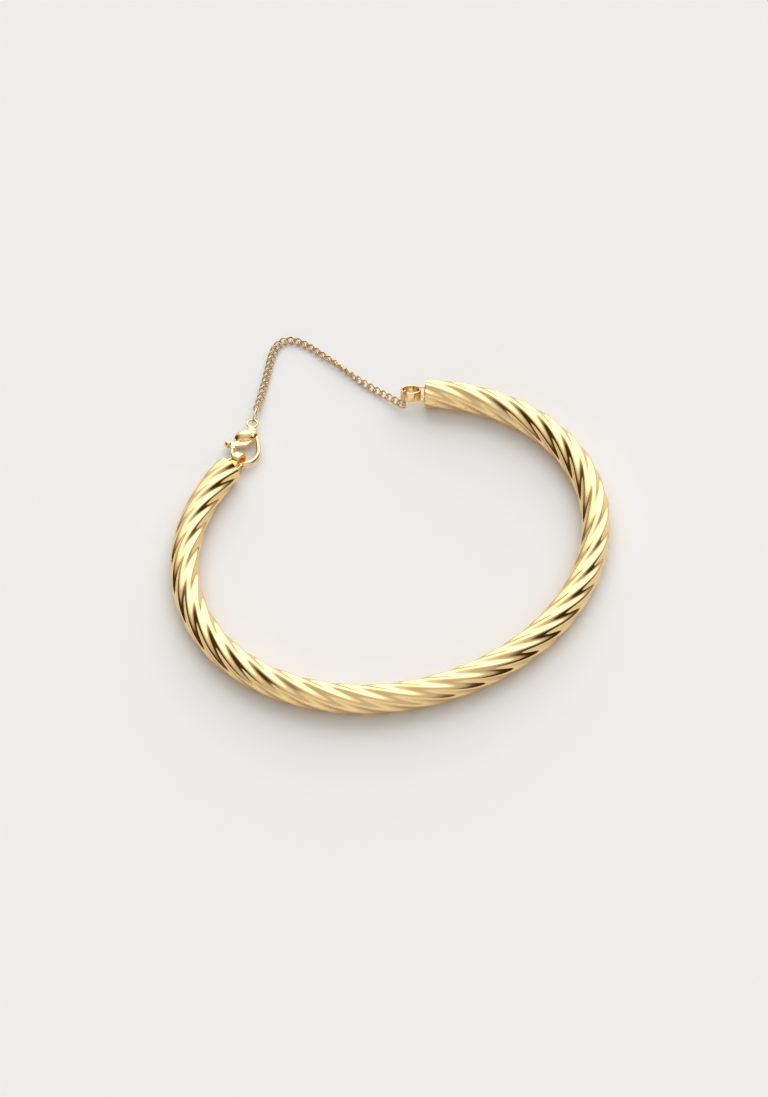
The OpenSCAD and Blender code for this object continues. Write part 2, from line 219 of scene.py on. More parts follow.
def settle(obj, body, stands_for):
    """Hangs a piece on its body and hides the CAD parts that it stands for."""
    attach(obj, body)
    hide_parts(*stands_for)


def round_ring(mid, u, v, ru, rv, sides):
    """An oval ring of points round mid, with half axes ru along u and rv along v."""
    return [mid + ru * math.cos(a) * u + rv * math.sin(a) * v
            for a in (2 * math.pi * j / sides for j in range(sides))]


def tube(path, radius, sides, up=UP, closed=False):
    """A round tube along points; radius is a number or a function of the share along it."""
    n, rings = len(path), []
    for i, p in enumerate(path):
        a = path[(i - 1) % n] if closed or i else p
        b = path[(i + 1) % n] if closed or i < n - 1 else p
        run = (b - a).normalized()
        u = across(up, run)
        r = radius(i / (n - 1)) if callable(radius) else radius
        rings.append(round_ring(p, u, run.cross(u), r, r, sides))
    return skin(rings, closed)


def lathe(profile, mid, axis, sides):
    """A closed profile of (radius, height) points turned about an axis through mid."""
    u = across(Vector((1, 0.3, 0.2)), axis)
    v = axis.cross(u)
    rings = [[mid + r * (math.cos(a) * u + math.sin(a) * v) + h * axis for r, h in profile]
             for a in (2 * math.pi * i / sides for i in range(sides, 0, -1))]
    return skin(rings, closed=True)


def freeze(obj):
    """Applies an object's modifiers."""
    graph = bpy.context.evaluated_depsgraph_get()
    mesh = bpy.data.meshes.new_from_object(obj.evaluated_get(graph), depsgraph=graph)
    obj.modifiers.clear()
    obj.data = mesh
    mesh.name = obj.name
    mesh.shade_smooth()


def cast(name, skins, material, voxel, easing):
    """Closed skins run together into one casting, its edges eased over so many rounds."""
    obj = piece(name, *joined(skins), material)
    remesh = obj.modifiers.new("Cast", "REMESH")
    remesh.mode, remesh.voxel_size, remesh.use_smooth_shade = "VOXEL", voxel * MM, True
    ease = obj.modifiers.new("Ease", "SMOOTH")
    ease.factor, ease.iterations = 0.5, easing
    freeze(obj)
    return obj


def cut_from(obj, skins, material):
    """Cuts closed skins out of an object."""
    for points, faces in skins:
        tool = piece("cutter", points, faces, material)
        cut = obj.modifiers.new("Cut", "BOOLEAN")
        cut.operation, cut.solver, cut.object = "DIFFERENCE", "EXACT", tool
        freeze(obj)
        bpy.data.objects.remove(tool)
    shape = bmesh.new()
    shape.from_mesh(obj.data)
    # Points that only two faces share would leave folded slivers along the cuts
    spare = [v for v in shape.verts if len(v.link_edges) == 2]
    bmesh.ops.dissolve_verts(shape, verts=spare)
    shape.to_mesh(obj.data)
    shape.free()


# Materials

def add_node(tree, kind, settings=None, **inputs):
    """Adds a node, sets its settings, and sets or links its inputs."""
    node = tree.nodes.new(kind)
    for key, value in (settings or {}).items():
        setattr(node, key, value)
    for key, value in inputs.items():
        socket = node.inputs[int(key[1:])] if key[1:].isdigit() else node.inputs[key.replace("_", " ")]
        if isinstance(value, bpy.types.NodeSocket):
            tree.links.new(value, socket)
        else:
            socket.default_value = value
    return node


def new_material(name):
    """A material by name with an empty node tree, and that tree."""
    material = bpy.data.materials.get(name) or bpy.data.materials.new(name)
    material.use_nodes = True
    material.node_tree.nodes.clear()
    return material, material.node_tree


BUFF_MM = 0.05
BUFF_COARSER = 4
DIMPLE_MM = 1.2
TOOTH_MM = 0.6
# How much rougher than the rod's plating the small parts' and the chain's are
SMALL_SOFTER, CHAIN_DULLER = 0.02, 0.08


def gold_plate(name, colour, roughness):
    """Yellow gold plated on brass, barrel polished.

    The eye sees a bright mirror that is a touch soft, with faint buffing marks and the slow
    dimples that tumbling leaves. Real buffing marks are too fine to show, so they are drawn
    coarser.
    """
    material, tree = new_material(name)
    place = add_node(tree, "ShaderNodeTexCoord").outputs["Object"]
    marks = add_node(tree, "ShaderNodeTexNoise", None, Vector=place,
                     Scale=1 / (BUFF_MM * BUFF_COARSER * MM), Detail=3.0, Roughness=0.6)
    dimples = add_node(tree, "ShaderNodeTexNoise", None, Vector=place,
                       Scale=1 / (DIMPLE_MM * MM), Detail=1.0, Roughness=0.4)
    rough = add_node(tree, "ShaderNodeMapRange", None, Value=marks.outputs["Fac"],
                     From_Min=0.3, From_Max=0.7, To_Min=roughness * 0.75, To_Max=roughness * 1.35)
    soft = add_node(tree, "ShaderNodeBump", None, Strength=0.12, Distance=0.02 * MM,
                    Height=dimples.outputs["Fac"])
    fine = add_node(tree, "ShaderNodeBump", None, Strength=0.1, Distance=0.002 * MM,
                    Height=marks.outputs["Fac"], Normal=soft.outputs["Normal"])
    shader = add_node(tree, "ShaderNodeBsdfPrincipled", None, Base_Color=(*colour, 1.0),
                      Metallic=1.0, Roughness=rough.outputs["Result"],
                      Normal=fine.outputs["Normal"])
    add_node(tree, "ShaderNodeOutputMaterial", None, Surface=shader.outputs["BSDF"])
    return material


def rod_material(context):
    """The rod's plating, the brightest."""
    look = context.scene.bangle_finish
    return gold_plate("gold_plate_on_rod", look.rod_gold, look.polish)


def small_material(context):
    """The rings' and the clasp's plating, a little softer, as on small castings."""
    look = context.scene.bangle_finish
    return gold_plate("gold_plate_on_findings", look.small_gold, look.polish + SMALL_SOFTER)


def chain_material(context):
    """The chain's plating, a little rougher, its darker gold painted shade for the shadows between the
    links and their darker reflections.
    """
    look = context.scene.bangle_finish
    return gold_plate("gold_plate_on_chain", look.chain_gold, look.polish + CHAIN_DULLER)


def paper_material(context):
    """Matt white background paper: no sheen, and a very faint tooth."""
    material, tree = new_material("matt_white_paper")
    place = add_node(tree, "ShaderNodeTexCoord").outputs["Object"]
    tooth = add_node(tree, "ShaderNodeTexNoise", None, Vector=place, Scale=1 / (TOOTH_MM * MM),
                     Detail=2.0)
    bump = add_node(tree, "ShaderNodeBump", None, Strength=0.05, Distance=0.02 * MM,
                    Height=tooth.outputs["Fac"])
    shader = add_node(tree, "ShaderNodeBsdfPrincipled", None,
                      Base_Color=(*context.scene.bangle_finish.paper, 1.0), Roughness=0.9,
                      Normal=bump.outputs["Normal"])
    add_node(tree, "ShaderNodeOutputMaterial", None, Surface=shader.outputs["BSDF"])
    return material


# The twisted rod

ROD_STEPS = 620
STRAND_STEPS = 12
EDGE_TURNS = (0, 22.5, 45, 67.5, 90)


def oval(rod, t):
    """Point, run and outward direction of the rod's middle at oval angle t."""
    a, b = (rod.wrist_long + rod.diameter) / 2, (rod.wrist_short + rod.diameter) / 2
    run = Vector((-a * math.sin(t), b * math.cos(t), 0)).normalized()
    return (Vector((a * math.cos(t), b * math.sin(t), rod.diameter / 2)), run,
            Vector((run.y, -run.x, 0)))


def gap_angle(rod):
    """Half the oval angle that the gap between the cut ends takes up."""
    return math.asin(rod.end_gap / (rod.wrist_long + rod.diameter))


def end_place(rod, side):
    """Centre of a cut end and the way it faces: side is -1 for the left, 1 for the right."""
    t = math.pi / 2 - side * gap_angle(rod)
    point, run, _ = oval(rod, t)
    return point, side * run


def strand_radius(rod, share):
    """Radius over one strand, from groove to groove: a smooth wave."""
    return rod.diameter / 2 - rod.groove * math.cos(math.pi * share) ** 2


def rod_skin(rod):
    """The twisted rod, its turns growing evenly longer from the left end to the right."""
    start, turn = math.pi / 2 + gap_angle(rod), 2 * (math.pi - gap_angle(rod))
    spots = [oval(rod, start + turn * i / ROD_STEPS) for i in range(ROD_STEPS + 1)]
    at = [0.0]
    for a, b in zip(spots, spots[1:]):
        at.append(at[-1] + (b[0] - a[0]).length)
    total, around = at[-1], rod.strands * STRAND_STEPS

    def ring(i, shrink, shift=0.0):
        mid, run, out = spots[i]
        s = at[i] + shift
        twist = rod.start + 2 * math.pi * (
            s / rod.pitch_left + (1 / rod.pitch_right - 1 / rod.pitch_left) * s * s / (2 * total))
        points = []
        for j in range(around):
            a = twist + 2 * math.pi * j / around
            r = strand_radius(rod, j % STRAND_STEPS / STRAND_STEPS) - shrink
            points.append(mid + shift * run + r * (math.sin(a) * out + math.cos(a) * UP))
        return points

    edge, turns = rod.edge, [math.radians(a) for a in EDGE_TURNS]
    first = [ring(0, edge * (1 - math.sin(a)), edge * (1 - math.cos(a))) for a in turns]
    last = [ring(ROD_STEPS, edge * (1 - math.sin(a)), -edge * (1 - math.cos(a)))
            for a in turns[::-1]]
    return skin(first + [ring(i, 0) for i in range(1, ROD_STEPS)] + last)


# Bends of the soldered eyes' wire, where its foot lies behind the cut end, and the solder there
EYE_TIP_R, EYE_FOOT_R, EYE_FOOT_X = 0.3, 0.45, -0.08
SOLDER_R = 0.25
EYE_WIRE_SIDES = 20


def eye_skins(rod, side, ring_axis):
    """A closed eye of bent wire, its foot sunk in a bead of solder on a cut end."""
    point, out = end_place(rod, side)
    high = across(ring_axis, out)
    leg = (rod.eye_height - rod.eye_wire) / 2
    tip = (rod.left_reach if side < 0 else rod.right_reach) - rod.eye_wire / 2
    corners = ((tip - EYE_TIP_R, leg - EYE_TIP_R, EYE_TIP_R, 0),
               (EYE_FOOT_X + EYE_FOOT_R, leg - EYE_FOOT_R, EYE_FOOT_R, 90),
               (EYE_FOOT_X + EYE_FOOT_R, EYE_FOOT_R - leg, EYE_FOOT_R, 180),
               (tip - EYE_TIP_R, EYE_TIP_R - leg, EYE_TIP_R, 270))
    path = [point + (x + r * math.cos(a)) * out + (z + r * math.sin(a)) * high
            for x, z, r, start in corners
            for a in (math.radians(start + 10 * k) for k in range(10))]
    bead = ball_skin(point + EYE_FOOT_X * out, high, leg - EYE_FOOT_R / 3, SOLDER_R)
    wire = tube(path, rod.eye_wire / 2, EYE_WIRE_SIDES, up=out.cross(high), closed=True)
    return [wire, bead]


# The ways that the holes of the hanging rings face, as they lie in the photograph
LEFT_RING_AXIS = Vector((0.57, -0.8, 0.12)).normalized()
RIGHT_RING_AXIS = Vector((0.21, 0.45, 0.87)).normalized()


class BANGLE_OT_rod(bpy.types.Operator):
    """Makes the twisted rod with its two soldered eyes"""
    bl_idname = "bangle.rod"
    bl_label = "Twisted Rod"

    def execute(self, context):
        rod = in_mm(context.scene.bangle_rod)
        metal = rod_material(context)
        piece("rod", *rod_skin(rod), metal, "twisted_rod", BODY, ["twisted_rod"])
        eyes = eye_skins(rod, -1, LEFT_RING_AXIS) + eye_skins(rod, 1, RIGHT_RING_AXIS)
        piece("rod_eyes", *joined(eyes), metal, "twisted_rod", BODY, ["twisted_rod"])
        return {"FINISHED"}


BAND_SIDES = 96


def band_profile(diameter, height, ring):
    """Section of a band ring as (radius, height) points, its rims rounded."""
    outer, half, rim = diameter / 2, height / 2, ring.rim
    inner = outer - ring.wall
    corners = ((outer - rim, half - rim, 0), (inner + rim, half - rim, 90),
               (inner + rim, rim - half, 180), (outer - rim, rim - half, 270))
    return [(r + rim * math.cos(a), h + rim * math.sin(a)) for r, h, start in corners
            for a in (math.radians(start + 15 * k) for k in range(7))]


class BANGLE_OT_rings(bpy.types.Operator):
    """Makes the band rings on both ends"""
    bl_idname = "bangle.rings"
    bl_label = "Band Rings"

    def execute(self, context):
        ring = in_mm(context.scene.bangle_ring)
        metal = small_material(context)
        for node, axis, diameter, height in (
                ("left_ring", LEFT_RING_AXIS, ring.left_d, ring.left_height),
                ("right_ring", RIGHT_RING_AXIS, ring.right_d, ring.right_height)):
            profile = band_profile(diameter, height, ring)
            piece(node + "_band", *lathe(profile, cad_middle(node), axis, BAND_SIDES), metal,
                  node, BODY, [node])
        return {"FINISHED"}


# The clasp, drawn in its own plan: x across, y from the hook's bottom to the eye

class ClaspPlan:
    """Places on the clasp, as shares of its width across and of its length along."""

    def __init__(self, clasp):
        w, l = clasp.clasp_wid, clasp.clasp_len
        self.loop_mid = Vector((-0.043 * w, 0.256 * l, 0))
        self.loop_half = ((w - clasp.hook_wid) / 2, 0.24 * l)
        self.eye = Vector((0.021 * w, 0.95 * l - clasp.eye_d / 2, 0))
        self.bulb = Vector((-0.106 * w, 0.565 * l, 0))
        self.bulb_half = (0.415 * w, clasp.clasp_thick / 2)
        self.pivot = Vector((0.117 * w, 0.555 * l, 0))
        self.belly = Vector((-0.06 * w, 0.425 * l, 0))
        self.gate = Vector((-0.44 * w, 0.365 * l, 0))
        self.tab = Vector((-0.635 * w, 0.375 * l, 0))
        self.hook_top = Vector((0.09 * w, 0.72 * l, 0))
        self.hook_bow = Vector((0.33 * w, 0.5 * l, 0))
        self.lever_half = 0.085 * w
        self.belly_half = 1.1 * self.lever_half
        self.tip_half = 0.8 * self.lever_half
        self.tab_r = 0.13 * w
        self.tip_y = 0.268 * l
        self.turn = Matrix.Rotation(clasp.turn, 3, "Z")
        # The rivet's middle is the pivot, which places the whole clasp
        self.origin = cad_middle("clasp_rivet") - self.turn @ self.pivot

    def place(self, p):
        """A point of the plan where it lies on the bangle."""
        return self.origin + self.turn @ p

    def placed(self, skins):
        """Skins drawn in the plan, laid where they belong on the bangle."""
        return [([self.place(p) for p in points], faces) for points, faces in skins]


BULB_TILT = math.radians(22)
# Shares of the hook's line at which its straight limb and its loop end
LIMB_END, LOOP_END = 0.35, 0.95
# Share along a line against a share there: of the hook's half width, of its half thickness, and
# of the clasp's width for the neck's radius
HOOK_SWELL = ((0, 1.15), (0.3, 1.05), (0.45, 1.15), (0.65, 1.3), (0.85, 1.05), (1, 0.85))
HOOK_TAPER = ((0, 1.05), (1, 0.9))
NECK_TAPER = ((0, 0.16), (1, 0.13))
LEVER_SWING = math.radians(18)
EYE_SIDES = 64
CASTING_VOXEL, CASTING_EASING = 0.045, 6
LEVER_VOXEL, LEVER_EASING = 0.035, 24
# Room round the rivet in the casting and in the lever, and how far the rivet reaches from the
# middle as a share of the clasp's thickness
RIVET_FIT, RIVET_PLAY = 0.01, 0.04
RIVET_REACH = 0.41
# Height above the end of the rivet's straight part against share of its radius
RIVET_DOME = ((0, 1), (0.02, 0.8), (0.03, 0.5))
POLE_R = 0.004


def lookup(x, table):
    """The value at x of a table of (x, value) rows, straight between them."""
    for (a, u), (b, v) in zip(table, table[1:]):
        if x <= b:
            return u + (v - u) * (x - a) / (b - a)
    return table[-1][1]


def hook_line(plan, f):
    """The hook's middle line: down the right side, round the bottom, up to its tip."""
    right = plan.loop_mid + Vector((plan.loop_half[0], 0, 0))
    left = plan.loop_mid - Vector((plan.loop_half[0], 0, 0))
    if f < LIMB_END:
        g = f / LIMB_END
        return (1 - g) ** 2 * plan.hook_top + 2 * g * (1 - g) * plan.hook_bow + g * g * right
    if f < LOOP_END:
        a = -math.pi * (f - LIMB_END) / (LOOP_END - LIMB_END)
        return plan.loop_mid + Vector((plan.loop_half[0] * math.cos(a),
                                       plan.loop_half[1] * math.sin(a), 0))
    g = (f - LOOP_END) / (1 - LOOP_END)
    return left + Vector((0, g * (plan.tip_y - left.y), 0))


def hook_skin(plan, clasp, steps=80, sides=24):
    """The hook, an oval rod along its middle line."""
    rings = []
    for i in range(steps + 1):
        f = i / steps
        run = (hook_line(plan, min(f + 0.01, 1)) - hook_line(plan, max(f - 0.01, 0))).normalized()
        out = Vector((-run.y, run.x, 0))
        rings.append(round_ring(hook_line(plan, f), out, UP,
                                clasp.hook_wid / 2 * lookup(f, HOOK_SWELL),
                                clasp.hook_thick / 2 * lookup(f, HOOK_TAPER), sides))
    return skin(rings)


def ball_skin(mid, axis, half_along, half_across, steps=32, sides=48):
    """A closed egg about an axis."""
    u = across(UP, axis)
    v = axis.cross(u)
    rings = []
    for i in range(steps + 1):
        a = math.pi * (i / steps - 0.5)
        r = max(half_across * math.cos(a), POLE_R)
        rings.append(round_ring(mid + half_along * math.sin(a) * axis, u, v, r, r, sides))
    return skin(rings)


def slab_skin(outline, low, high):
    """A flat slab from an outline of plan points."""
    return skin([[Vector((p[0], p[1], z)) for p in outline] for z in (low, high)])


def rivet_hole(clasp, plan, play, sides=32):
    """The hole for the rivet, right through the clasp, with some play round the rivet."""
    r = clasp.rivet_d / 2 + play
    outline = [(plan.pivot.x + r * math.cos(a), plan.pivot.y + r * math.sin(a))
               for a in (2 * math.pi * j / sides for j in range(sides))]
    return slab_skin(outline, -clasp.clasp_thick, clasp.clasp_thick)


def bar_outline(p, p_r, q, q_r, sides=24):
    """Outline of a flat bar with round ends of two sizes."""
    run = (q - p).normalized()
    base = math.atan2(run.y, run.x)
    lean = math.acos((p_r - q_r) / (q - p).length)
    far = [(q.x + q_r * math.cos(base + a), q.y + q_r * math.sin(base + a))
           for a in (lean * (2 * k / sides - 1) for k in range(sides + 1))]
    back = math.pi - lean
    near = [(p.x + p_r * math.cos(base + math.pi + a), p.y + p_r * math.sin(base + math.pi + a))
            for a in (back * (2 * k / sides - 1) for k in range(sides + 1))]
    return far + near


class BANGLE_OT_clasp(bpy.types.Operator):
    """Makes the lobster clasp: its casting, its lever and the rivet between them"""
    bl_idname = "bangle.clasp"
    bl_label = "Lobster Clasp"

    def execute(self, context):
        clasp = in_mm(context.scene.bangle_clasp)
        metal = small_material(context)
        plan = ClaspPlan(clasp)
        self.body(clasp, plan, metal)
        self.lever(clasp, plan, metal)
        self.rivet(clasp, plan, metal)
        return {"FINISHED"}

    def body(self, clasp, plan, metal):
        """The bulb, hook and eye in one casting, cut out for the rivet.

        The lever's slot has no effect yet: see slot_skin.
        """
        bulb_axis = Vector((math.cos(BULB_TILT), math.sin(BULB_TILT), 0))
        eye_r = (clasp.eye_d - clasp.eye_wire) / 2
        eye_profile = [(eye_r + clasp.eye_wire / 2 * math.cos(a), clasp.eye_wire / 2 * math.sin(a))
                       for a in (2 * math.pi * k / 20 for k in range(20))]
        neck_low = Vector((plan.eye.x - 0.02 * clasp.clasp_wid,
                           plan.bulb.y + 0.7 * clasp.clasp_thick / 2, 0))
        neck_high = plan.eye - Vector((0, eye_r, 0))
        skins = [
            ball_skin(plan.bulb, bulb_axis, plan.bulb_half[0], plan.bulb_half[1]),
            hook_skin(plan, clasp),
            lathe(eye_profile, plan.eye, UP, EYE_SIDES),
            tube([neck_low, neck_high], lambda f: lookup(f, NECK_TAPER) * clasp.clasp_wid, 24,
                 up=Vector((1, 0, 0))),
        ]
        obj = cast("clasp_casting", plan.placed(skins), metal, CASTING_VOXEL, CASTING_EASING)
        room = [self.slot_skin(clasp, plan), rivet_hole(clasp, plan, RIVET_FIT)]
        cut_from(obj, plan.placed(room), metal)
        settle(obj, BODY, ["clasp_body"])

    def slot_skin(self, clasp, plan):
        """Room for the lever and its swing, through the lower left of the bulb.

        Known fault: this outline winds the wrong way round, so the cut removes nothing and the
        lever goes through the bulb. With arc + corners reversed it cuts the slot.
        """
        half_h = clasp.lever_thick / 2 + clasp.play
        room, far = plan.lever_half + 2 * clasp.play, 0.9 * clasp.clasp_wid
        rest = (plan.belly - plan.pivot).normalized()
        open_way = Matrix.Rotation(-LEVER_SWING, 3, "Z") @ (plan.gate - plan.pivot).normalized()
        low, high = Vector((-rest.y, rest.x, 0)), Vector((open_way.y, -open_way.x, 0))
        start = math.atan2(high.y, high.x)
        end = math.atan2(low.y, low.x)
        if end < start:
            start -= 2 * math.pi
        turn = start + 2 * math.pi - end
        arc = [plan.pivot + room * Vector((math.cos(a), math.sin(a), 0))
               for a in (end + turn * k / 16 for k in range(16, -1, -1))]
        corners = [plan.pivot + room * low + far * rest,
                   plan.pivot + far * open_way - far * low,
                   plan.pivot + room * high + far * open_way]
        return slab_skin([(p.x, p.y) for p in arc + corners], -half_h, half_h)

    def lever(self, clasp, plan, metal):
        """The lever from the rivet to the hook's tip, with a ball for the thumb."""
        r, half = plan.lever_half, clasp.lever_thick / 2
        tip_x = plan.loop_mid.x - plan.loop_half[0]
        left, right = tip_x - plan.tip_half, tip_x + plan.tip_half
        low = plan.tip_y + clasp.play
        bars = [bar_outline(plan.pivot, r, plan.belly, plan.belly_half),
                bar_outline(plan.belly, plan.belly_half, plan.gate, r),
                bar_outline(plan.pivot, r, plan.gate, r),
                bar_outline(plan.gate, r, plan.tab, r),
                [(left, low), (right, low), (right, plan.gate.y), (left, plan.gate.y)]]
        skins = [slab_skin(bar, -half, half) for bar in bars]
        skins.append(ball_skin(plan.tab, Vector((1, 0, 0)), plan.tab_r, plan.tab_r))
        obj = cast("lever_casting", plan.placed(skins), metal, LEVER_VOXEL, LEVER_EASING)
        cut_from(obj, plan.placed([rivet_hole(clasp, plan, RIVET_PLAY)]), metal)
        settle(obj, LEVER_BODY, ["clasp_lever"])

    def rivet(self, clasp, plan, metal):
        """The rivet, its ends a little domed."""
        straight, r = RIVET_REACH * clasp.clasp_thick - RIVET_DOME[-1][0], clasp.rivet_d / 2
        levels = ([(-straight - z, k) for z, k in RIVET_DOME[::-1]]
                  + [(straight + z, k) for z, k in RIVET_DOME])
        rings = [round_ring(plan.place(plan.pivot + Vector((0, 0, z))), Vector((1, 0, 0)),
                            Vector((0, 1, 0)), r * k, r * k, 32) for z, k in levels]
        piece("rivet", *skin(rings), metal, "clasp_rivet", BODY, ["clasp_rivet"])


# The safety chain

# Where the chain lies: x, y, lift above lying on the surface, roll of the link about the route
CHAIN_LAY = (
    (-6.45, 33.25, 0.3, 43), (-4.75, 35.65, 0.05, 45), (-2.9, 38.1, 0, 42),
    (-1.2, 40.8, 0, 25), (1.25, 42.75, 0, 8), (3.8, 41.05, 0, 2), (5.15, 38.2, 0, -5),
    (6.5, 35.5, 0, -22), (7.65, 32.7, 0, -70), (8.85, 29.9, 0, -115),
    (10.3, 27.3, 0, -132), (11.7, 24.8, 0.3, -136),
)
START_ROLL, END_ROLL = 50, -136
# How the end links hang: the left one's compass direction, the right one's place round its
# ring and its lean, and how far the chain's foot lies past it
LEFT_LINK_ANGLE = math.radians(52)
RIGHT_LINK_SIDE = math.radians(56)
RIGHT_LINK_LEAN = math.radians(8)
FOOT_PAST = 0.38
LIE_CLEAR = 0.02
SMOOTH_STEPS = 10
LINK_STEPS, WIRE_SIDES = 32, 10
# Powers that fill out a link's oval at its ends and at its sides
END_FILL, SIDE_FILL = 0.75, 0.85


def bulge(v, k):
    """A signed power, which fills out a circle's quarter as k falls below 1."""
    return math.copysign(abs(v) ** k, v)


def link_curve(long, wide, twist, a):
    """The middle of a link's wire at angle a."""
    u, w = bulge(math.cos(a), END_FILL), wide / 2 * bulge(math.sin(a), SIDE_FILL)
    return Vector((long / 2 * u, w * math.cos(twist * u), w * math.sin(twist * u)))


def link_skin(long, wide, twist, wire, mid, run, side, roll=0.0):
    """One closed link, its length along run and its width along side, rolled about run."""
    s = across(side, run)
    u = run.cross(s)
    y = math.cos(roll) * s + math.sin(roll) * u
    to = Matrix((run, y, run.cross(y))).transposed()
    rings = []
    for i in range(LINK_STEPS):
        a = 2 * math.pi * (i + 0.5) / LINK_STEPS
        c = link_curve(long, wide, twist, a)
        ahead = (link_curve(long, wide, twist, a + 0.05)
                 - link_curve(long, wide, twist, a - 0.05)).normalized()
        out = across(c, ahead)
        ring = round_ring(c, out, ahead.cross(out), wire / 2, wire / 2, WIRE_SIDES)
        rings.append([mid + to @ p for p in ring])
    return skin(rings, closed=True)


class Route:
    """The smooth curve that the curb links follow, with its length and its roll."""

    def __init__(self, chain, start, end):
        self.chain = chain
        rows = [(start.x, start.y, start.z - self.lying(START_ROLL), START_ROLL), *CHAIN_LAY,
                (end.x, end.y, end.z - self.lying(END_ROLL), END_ROLL)]
        led = [self.mirror(rows[1], rows[0]), *rows, self.mirror(rows[-2], rows[-1])]
        self.rows = [self.spline(led[i:i + 4], k / SMOOTH_STEPS)
                     for i in range(len(rows) - 1) for k in range(SMOOTH_STEPS)] + [rows[-1]]
        self.at = [0.0]
        for a, b in zip(self.rows, self.rows[1:]):
            self.at.append(self.at[-1] + math.dist(a[:3], b[:3]))

    @staticmethod
    def mirror(a, b):
        """Row a on the other side of row b, which leads the curve in or out."""
        return tuple(2 * q - p for p, q in zip(a, b))

    @staticmethod
    def spline(led, t):
        """The row at share t of the smooth curve between the middle two of four rows."""
        w = ((1 - t) ** 3, 3 * t ** 3 - 6 * t * t + 4, 1 + 3 * t + 3 * t * t - 3 * t ** 3, t ** 3)
        return tuple(sum(k * p[n] for k, p in zip(w, led)) / 6 for n in range(4))

    def lying(self, roll):
        """Height of a rolled link's middle when it just touches the surface."""
        chain, roll = self.chain, math.radians(roll)
        curve = [link_curve(chain.link_len - chain.wire, chain.link_wid - chain.wire, chain.twist,
                            math.radians(a)) for a in range(0, 360, 15)]
        drop = max(abs(c.y * math.sin(roll) + c.z * math.cos(roll)) for c in curve)
        return chain.wire / 2 + LIE_CLEAR + drop

    def row(self, s):
        """The route's x, y, lift and roll at length s along it."""
        s = min(max(s, 0), self.at[-1])
        i = next(n for n in range(1, len(self.at)) if s <= self.at[n] + 1e-9)
        t = (s - self.at[i - 1]) / (self.at[i] - self.at[i - 1])
        return [a + t * (b - a) for a, b in zip(self.rows[i - 1], self.rows[i])]

    def place(self, s):
        """The middle of a link's wire at length s along the route."""
        x, y, lift, roll = self.row(s)
        return Vector((x, y, lift + self.lying(roll)))


class BANGLE_OT_chain(bpy.types.Operator):
    """Makes the safety chain: curb links and a longer link at each end"""
    bl_idname = "bangle.chain"
    bl_label = "Safety Chain"

    def execute(self, context):
        scene = context.scene
        chain = in_mm(scene.bangle_chain)
        left, start = self.left_link(chain, in_mm(scene.bangle_clasp))
        right, end = self.right_link(chain, in_mm(scene.bangle_ring), in_mm(scene.bangle_rod))
        skins = [left, right, *self.curb_links(chain, Route(chain, start, end))]
        piece("chain_links", *joined(skins), chain_material(context), "chain", BODY, ["chain"])
        return {"FINISHED"}

    def end_link(self, chain, mid, run, side):
        """One of the plain longer links."""
        return link_skin(chain.end_len - chain.end_wire, chain.end_wid - chain.end_wire, 0,
                         chain.end_wire, mid, run, side)

    def left_link(self, chain, clasp):
        """The link in the clasp's eye, and where the curb links start in it."""
        plan, half = ClaspPlan(clasp), (chain.end_len - chain.end_wire) / 2
        run = Vector((math.cos(LEFT_LINK_ANGLE), math.sin(LEFT_LINK_ANGLE), 0))
        reach = clasp.eye_d / 2 - clasp.eye_wire - chain.hang - chain.end_wire / 2 + half
        mid = plan.place(plan.eye) + reach * run
        hook_up = (chain.wire + chain.end_wire) / 2 + chain.play
        return self.end_link(chain, mid, run, UP), mid + (half - hook_up) * run

    def right_link(self, chain, ring, rod):
        """The link round the right ring's wall, and where the curb links end below it."""
        axis, (_, out) = RIGHT_RING_AXIS, end_place(rod, 1)
        ring_left = across(out, axis)
        near = ring_left.cross(axis)
        place = math.cos(RIGHT_LINK_SIDE) * ring_left - math.sin(RIGHT_LINK_SIDE) * near
        pull = axis.cross(place)
        run = math.cos(RIGHT_LINK_LEAN) * axis + math.sin(RIGHT_LINK_LEAN) * pull
        half = (chain.end_len - chain.end_wire) / 2
        mid = (cad_middle("right_ring") + (ring.right_d - ring.wall) / 2 * place
               + (ring.right_height / 2 + chain.hang + chain.end_wire / 2) * axis - half * run)
        return self.end_link(chain, mid, run, place), mid - half * run + FOOT_PAST * pull

    def curb_links(self, chain, route):
        """The twisted links, spread evenly along the route."""
        long, wide = chain.link_len - chain.wire, chain.link_wid - chain.wire
        count = math.ceil((route.at[-1] - long) / (long - chain.wire - chain.play))
        step = (route.at[-1] - long) / count
        skins = []
        for i in range(count + 1):
            s = long / 2 + i * step
            a, b = route.place(s - long / 2), route.place(s + long / 2)
            run = (b - a).normalized()
            skins.append(link_skin(long, wide, chain.twist, chain.wire, (a + b) / 2, run,
                                   UP.cross(run), math.radians(route.row(s)[3])))
        return skins


# The stage

# What the metal mirrors: compass direction and height in degrees, the radii within which it
# is even and beyond which it has faded, and its light
ROOM_LIGHT = (0.64, 0.64, 0.64)
SURROUNDINGS = (
    (-116, -17, 27, 61, (0.95, 0.95, 0.95)),
    (160, 13, 25, 52, (0.06, 0.035, 0.008)),
    (-43, 10, 19, 46, (0.05, 0.03, 0.008)),
    (21, 84, 3, 27, (0.95, 0.95, 0.95)),
    (56, 33, 20, 50, (2.3, 2.3, 2.3)),
)


def towards(compass, height):
    """Unit direction from its compass direction and its height, in degrees."""
    a, h = math.radians(compass), math.radians(height)
    return (math.cos(a) * math.cos(h), math.sin(a) * math.cos(h), math.sin(h))


